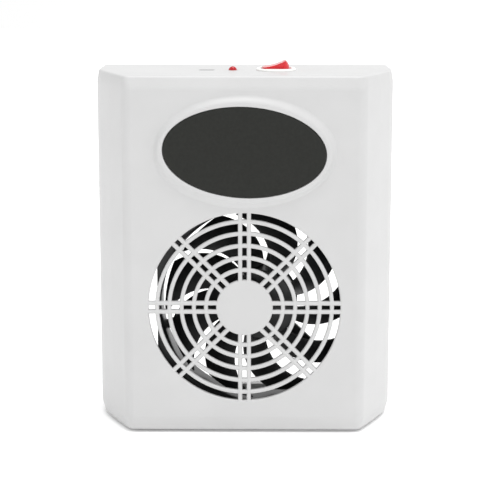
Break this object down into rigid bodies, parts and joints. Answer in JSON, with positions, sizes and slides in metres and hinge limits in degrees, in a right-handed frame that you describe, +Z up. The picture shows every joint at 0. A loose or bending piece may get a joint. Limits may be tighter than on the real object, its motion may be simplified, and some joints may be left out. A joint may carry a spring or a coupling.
{
  "type": "nail dust collector",
  "caption": "Upright white table-top dust extractor: round front grille over an axial fan, blank oval badge, rocker switch, lamp and power socket on top, bag collar behind.",
  "frame": {"origin": "centre of the footprint on the table, under the rubber feet", "axes": "+Z up, the grille and badge face -Y, the bag collar faces +Y, +X is to the right seen from the front"},
  "size_m": [0.173, 0.075, 0.2137],
  "materials": {
    "moulded_abs": "fine satin moulded surface",
    "badge_print": "dark satin plate, blank",
    "rubber": "matt black",
    "screw_steel": "zinc plated",
    "fan_plastic": "black glass-filled moulding",
    "bright_steel": "bright",
    "ferrite": "dull grey",
    "lamination_steel": "stacked sheet",
    "copper_winding": "enamelled wire",
    "circuit_board": "green solder mask",
    "switch_nylon": "glossy white",
    "red_clear": "clear red, polished",
    "brass_tab": "tinned tab",
    "black_insulator": "black",
    "red_insulation": "red PVC"
  },
  "bodies": {
    "housing": {"front_shell": "moulded_abs", "back_cover": "moulded_abs", "badge_plate": "badge_print", "rubber_foot_1": "rubber", "rubber_foot_2": "rubber", "rubber_foot_3": "rubber", "rubber_foot_4": "rubber", "cover_screw_1": "screw_steel", "cover_screw_2": "screw_steel", "cover_screw_3": "screw_steel", "cover_screw_4": "screw_steel", "fan_screw_1": "screw_steel", "fan_screw_2": "screw_steel", "fan_screw_3": "screw_steel", "fan_screw_4": "screw_steel", "board_screw_1": "screw_steel", "board_screw_2": "screw_steel", "fan_frame": "fan_plastic", "bearing_front": "bright_steel", "bearing_back": "bright_steel", "power_socket": "bright_steel", "stator_core": "lamination_steel", "stator_coil_1": "copper_winding", "stator_coil_2": "copper_winding", "stator_coil_3": "copper_winding", "stator_coil_4": "copper_winding", "motor_board": "circuit_board", "control_board": "circuit_board", "switch_body": "switch_nylon", "indicator_led": "red_clear", "switch_terminal_1": "brass_tab", "switch_terminal_2": "brass_tab", "socket_tongue": "black_insulator", "fan_wire_black": "black_insulator", "fan_wire_red": "red_insulation", "switch_wire_1": "red_insulation", "switch_wire_2": "red_insulation"},
    "rotor": {"fan_rotor": "fan_plastic", "rotor_yoke": "bright_steel", "rotor_magnet": "ferrite", "fan_shaft": "bright_steel", "shaft_clip": "bright_steel"},
    "rocker": {"switch_rocker": "red_clear"}
  },
  "joints": [
    {"name": "fan_spin", "type": "hinge", "parent": "housing", "child": "rotor", "pos_m": [0.0095, -0.013, 0.074], "axis": [0, -1, 0], "continuous": true},
    {"name": "rocker_tip", "type": "hinge", "parent": "housing", "child": "rocker", "pos_m": [0.018, 0.001, 0.2072], "axis": [0, 1, 0], "range_deg": [0, 32]}
  ]
}
